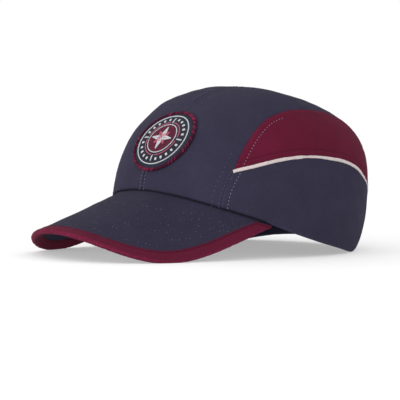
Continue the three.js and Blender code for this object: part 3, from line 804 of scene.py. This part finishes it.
def lower_grid():
    top = side_line(PIPING_LINE, 0, 1)
    share = evened(SIDE_ROWS)
    foot = FRONT_SEAM_FOOT[0] + (BACK_SEAM_FOOT[0] - FRONT_SEAM_FOOT[0]) * share
    w = evened(LOWER_COLUMNS)[None]
    angle = np.degrees(spot_angle(top))[:, None] * (1 - w) + foot[:, None] * w
    level = norm(top)[:, None] * (1 - w) + 2 * w
    angle += (front_seam_angle(level[0]) - angle[0]) * (1 - share[:, None]) ** 3
    return spot_at(angle, level)


PANELS = [
    ("crown_cloth", "crown_centre", strip_grid(), 0, ("rim", "rim", "flat", "seam"),
     navy, "navy_cloth", 10),
    ("upper_side_cloth", "side_upper", upper_grid(), SIDE_PUFF, ("open", "open", "raised", "tucked"),
     burgundy, "burgundy_cloth", 20),
    ("lower_side_cloth", "side_lower", lower_grid(), SIDE_PUFF, ("raised", "raised", "under", "rim"),
     navy, "navy_cloth", 30),
]
for mirror, side in enumerate(("left", "right")):
    for name, node, grid, puff, edges, material, slot, seed in PANELS:
        panel(f"{name}_{side}", grid, puff, edges, material, slot, f"{node}_{side}", seed + mirror, mirror)


def tree_of(points, faces):
    return BVHTree.FromPolygons(points.tolist(), faces.tolist())


crown_points, crown_faces = join([(points, [faces]) for points, faces in outer_faces])
crown_tree = tree_of(crown_points, concatenate(crown_faces))


def drape(tree, points, normals, height):
    """Points moved along their normals onto a surface, and then up by the height."""
    out = points.copy()
    for k in np.ndindex(points.shape[:-1]):
        start = Vector(points[k] + normals[k] * 6)
        hit = tree.ray_cast(start, -Vector(normals[k]), 12)[0]
        if hit is not None:
            out[k] = hit
    return out + normals * height[..., None]


def stitch_row(tree, points, normals, pitch, length, radius, sign=(1, 1, 1), start=0.0, kept=1.0):
    """Stitches lying on a surface along a line, their ends drawn down into the cloth. Kept is the
    share of them that shows: the others have sunk in."""
    at = lengths(points)
    first = arange(start, at[-1] - length, pitch)
    first = first[np.random.default_rng(31).uniform(size=len(first)) < kept]
    share = linspace(0, 1, 6)
    where = first[:, None] + share * length
    line, normal = picked(points, at, where), unit(picked(normals, at, where))
    line, normal = line * sign, normal * sign
    height = radius * (THREAD_PROUD - THREAD_DIVE * abs(share * 2 - 1) ** 3)
    return threads(drape(tree, line, normal, np.broadcast_to(height, where.shape)), normal, radius)


def split(line, reach):
    """The part of a line up to this distance along it, and the rest."""
    near = lengths(crown(line)) < reach
    return line[near], line[~near]


whole_seam = concatenate([front_seam(60), smooth_line(ARCH_LINE, 400)[1:-1], back_seam(60)])
levels = linspace(2, 0.02, 200)
centre_line = concatenate([spot_at(0, levels), spot_at(180, levels[::-1])])
side_row, arch_row = split(move_line(whole_seam, ALLOWANCE), SIDE_ROW_REACH)
front_row, _ = split(move_line(whole_seam, -FRONT_ROW), FRONT_ROW_REACH)
far_row, _ = split(move_line(whole_seam, -FAR_ROW), FAR_ROW_REACH)
low_row, high_row = split(move_line(centre_line, CENTRE_ROW), CENTRE_ROW_REACH)
for name, rows, material, slot in (
    ("side_seam_stitches", [(side_row, SIDE_STITCH)], thread["seam"], "grey_piping"),
    ("front_panel_stitches", [(front_row, FRONT_STITCH), (far_row, FAR_STITCH)],
     thread["faint"], "navy_cloth"),
    ("centre_seam_stitches", [(low_row, CENTRE_STITCH)], thread["grey"], "grey_piping"),
    ("centre_seam_navy_stitches", [(high_row, NAVY_STITCH)], thread["navy"], "navy_cloth"),
    ("arch_seam_stitches", [(arch_row, ARCH_STITCH)], thread["tape"], "burgundy_cloth"),
):
    groups = [
        stitch_row(crown_tree, crown(line), crown_normal(line), *stitch, sign)
        for line, stitch in rows for sign in ((1, 1, 1), (-1, 1, 1))
    ]
    make_threads(name, groups, material, slot)


# Piping

CORD_SIDES = 20
CORD_TIP = 0.3


def piping(side):
    """A cord in cloth with slanting wrinkles, flatter at its back."""
    line = smooth_line(PIPING_LINE, 420, 0.001, 0.999)
    sign = [-1 if side == "right" else 1, 1, 1]
    points, normals = crown(line) * sign, crown_normal(line) * sign
    at = lengths(points)
    radius = PIPING_DIAMETER / 2
    middles = points + normals * (PIPING_PROUD - radius + bumps(points, "cord", 51))[:, None]
    along = unit(np.gradient(middles, axis=0))
    across = unit(cross(along, normals))
    turn = 2 * pi * arange(CORD_SIDES) / CORD_SIDES
    end = minimum(at, at[-1] - at)
    size = radius * (0.9 + 0.1 * smooth(end, 0, 3)) + 0.14 * ridge(end, 0, 1.6)
    hidden = -0.55 + 0.35 * ridge(end, 0, 2.5)
    twist = sin(at[:, None] / 1.1 + turn + 0.8 * waves(points, 5, 52)[:, None])
    size = size[:, None] + 0.035 * twist + 0.03 * waves(points, 2.2, 53)[:, None]
    upward = size * maximum(cos(turn), hidden[:, None])
    sideways = size * sin(turn)
    ring = middles[:, None] + normals[:, None] * upward[..., None] + across[:, None] * sideways[..., None]
    ends = np.stack([middles[0] - along[0] * CORD_TIP, middles[-1] + along[-1] * CORD_TIP])
    flat = stacked(at[:, None], turn * radius)
    # Painted shade along both sides of the cord, where it meets the cloth.
    sunk = -0.8 * smooth(sin(turn) ** 2, 0.8, 1.0) * (cos(turn) < 0.5) + 0 * size
    points, faces = concatenate([ring.reshape(-1, 3), ends]), tube_faces(1, len(middles), CORD_SIDES)
    flat = concatenate([flat.reshape(-1, 2), np.zeros((2, 2))])
    wear_and_shade = concatenate([sunk.ravel(), [0, 0]])
    make_piece(
        f"piping_cord_{side}", points, faces, piping_cloth, "grey_piping", [f"piping_{side}"], flat, wear_and_shade)


piping("left")
piping("right")


# Peak

PEAK_FORWARD = array([0, -cos(PEAK_DROOP), -sin(PEAK_DROOP)])
PEAK_UPWARD = array([0, -sin(PEAK_DROOP), cos(PEAK_DROOP)])
SIDEWAYS = array([1.0, 0, 0])


def peak_edge(turn):
    across = np.sign(turn) * abs(sin(turn)) ** (2 / PEAK_SHOULDER)
    outward = maximum(cos(turn), 0) ** (2 / PEAK_ROUNDNESS)
    reach = -PEAK_CORNER_BACK + (PEAK_LENGTH + PEAK_CORNER_BACK) * outward
    radius = PEAK_ARCH_RADIUS + PEAK_ARCH_OPENING * (1 - outward)
    bend = across * PEAK_HALF_ARCH
    flare = PEAK_FLARE * (1 - smooth(reach + PEAK_CORNER_BACK, 0, PEAK_FLARE_LENGTH))
    root = stacked(0, -PEAK_ROOT_FORWARD - flare, -PEAK_ROOT_DROP)
    side = radius * sin(bend) + np.sign(across) * flare
    fall = -radius * (1 - cos(bend))
    return root + side[:, None] * SIDEWAYS + fall[:, None] * PEAK_UPWARD + reach[:, None] * PEAK_FORWARD


dense_edge = peak_edge((linspace(0, 1, 8001) - 0.5) * pi)
edge_reach = lengths(dense_edge)
from_end = minimum(edge_reach, edge_reach[-1] - edge_reach)
dense_edge -= PEAK_FORWARD * (END_TUCK * (1 - smooth(from_end, 0, END_TUCK_LENGTH)))[:, None]
edge_reach = lengths(dense_edge)


def edge_at(share):
    return resample(dense_edge, (share + 1) / 2 * edge_reach[-1])


def peak_root(angle):
    spots = spot_at(angle, 2)
    return crown(spots) - crown_normal(spots) * (PEAK_TUCK * HEM_WALL) - array([0, 0, TOUCH_GAP])


def root_angle(share):
    """Degrees round the rim of the places on the peak's root that belong to these shares."""
    target = edge_at(share)[:, 0] / edge_at(1)[0] * crown(spot_at(PEAK_END_ANGLE, 2))[0]
    low = np.full(share.shape, -PEAK_END_ANGLE)
    high = np.full(share.shape, PEAK_END_ANGLE)
    for _ in range(30):
        angle = (low + high) / 2
        below = crown(spot_at(angle, 2))[:, 0] < target
        low, high = np.where(below, angle, low), np.where(below, high, angle)
    return (low + share * PEAK_END_ANGLE) / 2


PEAK_ROWS, PEAK_COLUMNS = 260, 92
SPREAD = pi / 2 * 0.92
SHARE_STEP = 1e-4
peak_shares = sin(linspace(-1, 1, PEAK_ROWS + 1) * SPREAD) / sin(SPREAD)
edge = edge_at(peak_shares)
inner_shares = np.clip(peak_shares, -1 + SHARE_STEP, 1 - SHARE_STEP)
edge_along = unit(edge_at(inner_shares + SHARE_STEP) - edge_at(inner_shares - SHARE_STEP))
root_angles = root_angle(peak_shares)
rim = peak_root(root_angles)
inward = rim - edge
square = unit(inward - edge_along * (inward * edge_along).sum(-1, keepdims=True))
edge_normal = unit(cross(edge_along, square))
rim_along = peak_root(root_angles + 1) - peak_root(root_angles - 1)
root_normal = unit(cross(rim_along, inward))
rim_samples = peak_root(arange(-PEAK_END_ANGLE, PEAK_END_ANGLE + 0.5, 0.5))
room = norm(rim_samples[None] - edge[:, None]).min(axis=1)[:, None]
binding_width = minimum(BINDING_WIDTH, room)
body_start = minimum(binding_width + BODY_CLEARANCE, room - TOUCH_GAP)
swell = np.clip((body_start - binding_width) / BODY_CLEARANCE, 0, 1)
body_half = (EDGE_THICKNESS + (PEAK_THICKNESS - EDGE_THICKNESS) * swell) / 2
body = edge + square * body_start
root = rim - root_normal * PEAK_THICKNESS / 2
body_length = norm(root - body)[:, None]
peak_length = body_start + body_length


def in_from_edge(distance):
    return edge[:, None] + square[:, None] * distance[..., None]


def peak_middle(distance):
    """Middle of the peak's thickness at these distances from the edge: point, normal and half."""
    over = np.clip((distance - body_start) / body_length, 0, 1)[..., None]
    point = in_from_edge(minimum(distance, body_start)) + (root - body)[:, None] * over
    to_root = body_length * (1 - over[..., 0])
    point = point + [0, 0, ROOT_TUCK] * (1 - smooth(to_root, 0, ROOT_TUCK_LENGTH))[..., None]
    normal = unit(edge_normal[:, None] * (1 - over) + root_normal[:, None] * over)
    full = smooth(distance, binding_width * 0.35, binding_width * 0.95)
    return point, normal, EDGE_THICKNESS / 2 + (body_half - EDGE_THICKNESS / 2) * full


first_distance = BINDING_WALL + TOUCH_GAP
peak_distance = first_distance + (peak_length - first_distance) * evened(PEAK_COLUMNS)
middle, normal, half = peak_middle(peak_distance)
row_distances = PEAK_ROW_START + PEAK_ROW_STEP * arange(PEAK_ROW_COUNT)
relief = bumps(middle, "peak", 61)
# Painted shade on the peak's top: a dark line along its root under the crown's rim, and in the grooves of
# its rows of stitches.
peak_painted_shade = ridges(peak_length - peak_distance, WEAR_AND_SHADE["peak at the rim"])
for distance in row_distances:
    relief += ridges(peak_distance - distance, RELIEF["peak row"])
    peak_painted_shade += ridges(peak_distance - distance, WEAR_AND_SHADE["peak row"])
peak_top = middle + normal * (half + relief)[..., None]
peak_under = middle - normal * (half + bumps(middle, "underside", 63))[..., None]
peak_tree = tree_of(*make_sheet(
    "peak_cloth", peak_top, peak_under, middle[..., :2], peak_painted_shade, navy_peak_shaded, "navy_cloth", "peak"))


def peak_row(distance, start):
    wander = PEAK_ROW_WANDER * waves(edge, 7, 65 + int(distance))
    point, normal, _ = peak_middle((distance + wander)[:, None])
    usable = peak_length[:, 0] > distance + 5
    line, upward = point[usable, 0], normal[usable, 0]
    return stitch_row(peak_tree, line, upward, *PEAK_STITCH, start=start, kept=PEAK_ROWS_KEPT)


peak_rows = [peak_row(distance, 0.7 * k) for k, distance in enumerate(row_distances)]
make_threads("peak_stitches", peak_rows, thread["peak"], "navy_cloth")


# Binding: a folded tape round the edge of the peak, seen along the edge as a hairpin

binding_half = EDGE_THICKNESS / 2 + TOUCH_GAP + BINDING_WALL
inner_half = binding_half - BINDING_WALL


def binding_section():
    """The hairpin as shares: distance from the edge, in nose radii up to 1 and in shares of the
    straight part from 1 to 2, and height as a share of the half thickness."""
    straight = linspace(2, 1, 22)
    turns = radians(linspace(90, -90, 25))
    top = [(s, 1.0) for s in straight[:-1]]
    nose = [(1 - cos(a), sin(a)) for a in turns]
    return array(top + nose + [(s, -1.0) for s in straight[::-1][1:]]).T


s, h = binding_section()
on_nose = s <= 1
straight_length = maximum(binding_width - binding_half, 0.2)
distance = np.where(on_nose, s * binding_half, binding_half + (s - 1) * straight_length)
to_end = np.where(on_nose, straight_length + (1 - s) * binding_half, (2 - s) * straight_length)
fold = in_from_edge(distance)
ripple = bumps(fold, "binding", 71)
edge_round = 0.55 * (1 - smooth(to_end, 0, 0.55)) ** 2
slope = 0.25 * smooth(distance, binding_half, binding_half * 2.6)
lift = ripple * smooth(to_end, 0, 1.2) + ridges(to_end, RELIEF["binding"]) - edge_round - slope
outer = fold + edge_normal[:, None] * (h * (binding_half + lift))[..., None]
outer -= square[:, None] * (maximum(1 - s, 0) * ripple)[..., None]
inner = in_from_edge(np.where(on_nose, binding_half - (1 - s) * inner_half, distance))
inner += edge_normal[:, None] * (h * inner_half)[:, None]
flat = stacked(lengths(outer, 1), (edge_reach[-1] * (peak_shares + 1) / 2)[:, None])
# The tape is paler with wear along its folded edge, and has painted shade in its stitch groove and along
# its inner edges.
tape_wear_and_shade = ridges(distance, WEAR_AND_SHADE["binding fold"]) + ridges(to_end, WEAR_AND_SHADE["binding"])
binding_tree = tree_of(*make_sheet(
    "binding_tape", outer, inner, flat, tape_wear_and_shade, tape, "burgundy_binding", "peak_binding"))


def binding_row(face):
    keep = binding_width[:, 0] > 3.2
    line = edge + square * (binding_width - BINDING_ROW) + edge_normal * face * binding_half
    return stitch_row(binding_tree, line[keep], edge_normal[keep] * face, *BINDING_STITCH)


make_threads("binding_stitches", [binding_row(1), binding_row(-1)], thread["tape"], "burgundy_binding")


# Badge: a round patch with a stitched dial and star, and a border of looped thread

badge_spot = spot_at(*BADGE_SPOT)
badge_middle = crown(badge_spot)
badge_normal = crown_normal(badge_spot)
badge_upward = unit(cross(badge_normal, SIDEWAYS))
badge_across = cross(badge_upward, badge_normal)


def on_badge(x, y, height):
    """Points on the badge: right and up from its middle, and height over the crown's cloth."""
    x, y, height = np.broadcast_arrays(x, y, height)
    flat = badge_middle + x[..., None] * badge_across + y[..., None] * badge_upward
    spots = nearest_spot(flat, badge_spot)
    return crown(spots) + crown_normal(spots) * height[..., None]


def badge_threads(starts, ends, height, radius, rings=7, bow=0.25):
    """Straight satin threads between pairs of places on the badge, bowed up in their middles."""
    share = linspace(0, 1, rings)[:, None]
    flat = starts[:, None] * (1 - share) + ends[:, None] * share
    off = 2 * share[:, 0] - 1
    paths = on_badge(flat[..., 0], flat[..., 1], height + bow * (1 - off ** 2) - 0.3 * off ** 4)
    return threads(paths, np.broadcast_to(badge_normal, paths.shape), radius, flat=0.75)


field_top = TOUCH_GAP + BADGE_THICKNESS
field_radius = BADGE_RADIUS - BORDER_WIDTH - TOUCH_GAP + 0.4


def badge_disc():
    rings, sectors = 70, 220
    radius = linspace(0.01, field_radius, rings)[:, None]
    turn = linspace(0, 2 * pi, sectors, endpoint=False)
    x, y = radius * cos(turn), radius * sin(turn)
    lift = bumps(stacked(x, y, 0), "badge", 81)
    top = on_badge(x, y, field_top + lift - 0.35 * smooth(radius, field_radius - 0.8, field_radius))
    bottom = on_badge(x, y, 0.1 + 0 * x)
    points = concatenate([top, bottom[::-1]]).reshape(-1, 3)
    flat = stacked(x, y)
    flat = concatenate([flat, flat[::-1]]).reshape(-1, 2)
    faces = [closed_faces(2 * rings, sectors)]
    make_piece("badge_patch", points, faces, slate_twill, "badge_thread", ["badge"], flat)


badge_disc()


def polar(radius, degrees_round):
    a = radians(degrees_round)
    return stacked(radius * sin(a), radius * cos(a))


def satin_ring(low, high, height, radius, start=0.0, end=360.0, bow=0.12):
    count = int(round(radians(end - start) * (low + high) / 2 / SATIN_PITCH))
    turn = start + (end - start) * (arange(count) + 0.5) / count
    return badge_threads(polar(low, turn), polar(high, turn), height, radius, bow=bow)


def disc_fill(reach, pitch, length, height, radius, slant):
    """Rows of short side-by-side stitches that fill a disc."""
    spans = []
    for row, y in enumerate(arange(-reach + pitch / 2, reach, pitch)):
        end = np.sqrt(reach ** 2 - y ** 2)
        for a in arange(-end - (row * 0.37 % 1) * length, end, length):
            low, high = max(a, -end), min(a + length * 1.02, end)
            if high - low > 0.5:
                spans.append((low, high, y))
    low, high, y = array(spans).T
    c, s = cos(radians(slant)), sin(radians(slant))
    starts, ends = (stacked(x * c - y * s, x * s + y * c) for x in (low, high))
    return badge_threads(starts, ends, height, radius, rings=5, bow=0.08)


def star(long, short, first):
    """Threads that make up a star of four points, the left and the right half of each."""
    groups = []
    rows = int(long / SATIN_PITCH)
    t, knee = ((arange(rows) + 0.5) / rows)[:, None], short / long
    for half in (1, -1):
        for axis in first + 90 * arange(4):
            tip, side = polar(long, axis), polar(short, axis + half * 45)
            spine = tip * t
            flank = np.where(t < knee, side * (t / knee), side + (tip - side) * ((t - knee) / (1 - knee)))
            keep = norm(flank - spine) > 0.25
            groups.append(badge_threads(spine[keep], flank[keep], STAR_HEIGHT, 0.24, bow=0.16))
    return groups


STAR_HEIGHT = field_top + 0.55
MOTIF_HEIGHT = field_top + 0.3
field = disc_fill(FIELD_REACH, pitch=0.55, length=4.2, height=field_top + 0.02, radius=0.3, slant=8)
centre = disc_fill(CENTRE_REACH, pitch=0.5, length=3.6, height=field_top + 0.28, radius=0.28, slant=98)
pale = [
    satin_ring(*OUTER_RING, field_top + 0.2, 0.24, bow=0.22),
    satin_ring(*INNER_RING, MOTIF_HEIGHT, 0.22, bow=0.18),
]
for turn in range(0, 360, 15):
    low, high, width = SHORT_TICK if turn % 90 else LONG_TICK
    pale.append(satin_ring(low, high, MOTIF_HEIGHT, 0.23, turn - width, turn + width))
arcs = [
    satin_ring(*PINK_ARC, MOTIF_HEIGHT, 0.22, turn + PINK_ARC_GAP, turn + 90 - PINK_ARC_GAP)
    for turn in range(0, 360, 90)
]
for name, groups, material in (
    ("badge_field_stitching", [field], thread["badge_field"]),
    ("badge_centre_stitching", [centre], thread["badge_red"]),
    ("badge_pale_motifs", pale + star(*PALE_STAR), thread["badge_pale"]),
    ("badge_pink_motifs", star(*PINK_STAR) + arcs, thread["badge_pink"]),
):
    make_threads(name, groups, material, "badge_thread")

border_middle = BADGE_RADIUS - BORDER_WIDTH / 2
border_level = TOUCH_GAP + BORDER_HEIGHT / 2


def border_loops():
    """Loops of thread that wrap over the badge's rim from its face to the crown's cloth."""
    count = int(2 * pi * border_middle / BORDER_PITCH)
    rng = np.random.default_rng(91)
    turn = arange(count) * 360 / count + rng.normal(size=count) * 0.12
    over = linspace(-70, 250, 15)
    angle = radians(turn[:, None] + 2.4 * (over - 90) / 90)
    out = BORDER_SWELL - BORDER_THREAD
    radius = border_middle - (BORDER_WIDTH / 2 + out) * cos(radians(over))
    height = border_level + (BORDER_HEIGHT / 2 + out) * sin(radians(over))
    height = height + rng.normal(size=(count, 1)) * 0.03
    paths = on_badge(radius * sin(angle), radius * cos(angle), height)
    middle = on_badge(border_middle * sin(angle), border_middle * cos(angle), border_level)
    return paths, unit(paths - middle), turn


paths, normals, turn = border_loops()
# Painted highlights: some loops take the highlight red, most of them in two heaps, at the upper right and
# at the bottom.
painted_highlight = np.random.default_rng(93).uniform(size=len(turn)) < HIGHLIGHT_LEAST + ridges(turn, HIGHLIGHT_HEAPS)
for name, keep, material, nodes in (
    ("badge_border_loops", ~painted_highlight, thread["border_dark"], ["badge_border"]),
    ("badge_border_highlight_loops", painted_highlight, thread["border_bright"], []),
):
    make_piece(name, *threads(paths[keep], normals[keep], BORDER_THREAD), material, "border_thread", nodes)


def border_core():
    """The padding under the loops, which fills the gaps between them."""
    turns, overs, size = 200, 14, 0.86
    turn = radians(linspace(0, 360, turns, endpoint=False))[:, None]
    over = radians(linspace(0, 360, overs, endpoint=False))
    radius = border_middle + BORDER_WIDTH / 2 * size * cos(over)
    height = border_level + BORDER_HEIGHT / 2 * size * sin(over)
    points = on_badge(radius * sin(turn), radius * cos(turn), height).reshape(-1, 3)
    faces = [closed_faces(turns, overs)]
    make_piece("badge_border_core", points, faces, thread["border_dark"], "border_thread")


border_core()


# Stage, light and camera

# The floor glows as well as reflecting: a glow that lights the cap from below and lightens its shadow on
# the floor.
FLOOR_WHITE, FLOOR_GLOW = 0.62, 0.38
floor_mesh = bpy.data.meshes.new("floor")
floor_mesh.from_pydata([(-20, -20, 0), (20, -20, 0), (20, 20, 0), (-20, 20, 0)], [], [(0, 1, 2, 3)])
floor = place("floor", floor_mesh)
floor_white = new_material("pale_floor", (FLOOR_WHITE,) * 3, 0.95, specular=0.1)
floor_shader = floor_white.node_tree.nodes["Principled BSDF"]
set_inputs(floor_shader, {"Emission Color": (1.0, 1.0, 1.0, 1), "Emission Strength": FLOOR_GLOW})
floor_mesh.materials.append(floor_white)

bpy.context.scene.view_settings.view_transform = "Standard"

world = bpy.data.worlds.new("studio")
bpy.context.scene.world = world
world.use_nodes = True
set_inputs(world.node_tree.nodes["Background"], {"Color": (1.0, 1.0, 1.0, 1), "Strength": 1.0})


def soft_light(name, location, size, power, target):
    data = bpy.data.lights.new(name, "AREA")
    data.shape = "DISK"
    data.size = size
    data.energy = power
    lamp = place(name, data)
    lamp.location = location
    lamp.rotation_mode = "QUATERNION"
    lamp.rotation_quaternion = (Vector(target) - Vector(location)).to_track_quat("-Z", "Y")


soft_light("key", (-0.2, -2.0, 0.3), size=0.5, power=15, target=(0, 0, 0.05))
soft_light("low_fill", (1.35, -1.55, 0.11), size=0.22, power=10, target=(0, -0.08, 0.02))

AZIMUTH, ELEVATION, ROLL = radians([47.458, 3.226, 1.124])
VIEW_DISTANCE = 1300.0
PIXELS_PER_MM = 1.451
VIEW_TARGET = array([0, 20.0, 36.0])
TARGET_PIXEL = array([224.387, 197.43])
FRAME_PIXELS = 400
SENSOR = 36.0
level = Matrix.Rotation(AZIMUTH, 3, "Z") @ Matrix.Rotation(pi / 2 - ELEVATION, 3, "X")
right, up, back = array(level @ Matrix.Rotation(ROLL, 3, "Z")).T
off = (FRAME_PIXELS / 2 - TARGET_PIXEL) / PIXELS_PER_MM
aim = VIEW_TARGET + right * off[0] - up * off[1]
position = VIEW_TARGET + back * VIEW_DISTANCE
toward_camera = unit(position - aim)
camera_right = unit(right - toward_camera * (right @ toward_camera))
camera_up = cross(toward_camera, camera_right)
camera_data = bpy.data.cameras.new("camera")
camera_data.sensor_width = SENSOR
camera_data.lens = SENSOR * PIXELS_PER_MM * VIEW_DISTANCE / FRAME_PIXELS
camera = place("camera", camera_data)
turned = Matrix(np.stack([camera_right, camera_up, toward_camera], axis=1).tolist())
camera.matrix_world = Matrix.Translation(position * MM) @ turned.to_4x4()
bpy.context.scene.camera = camera
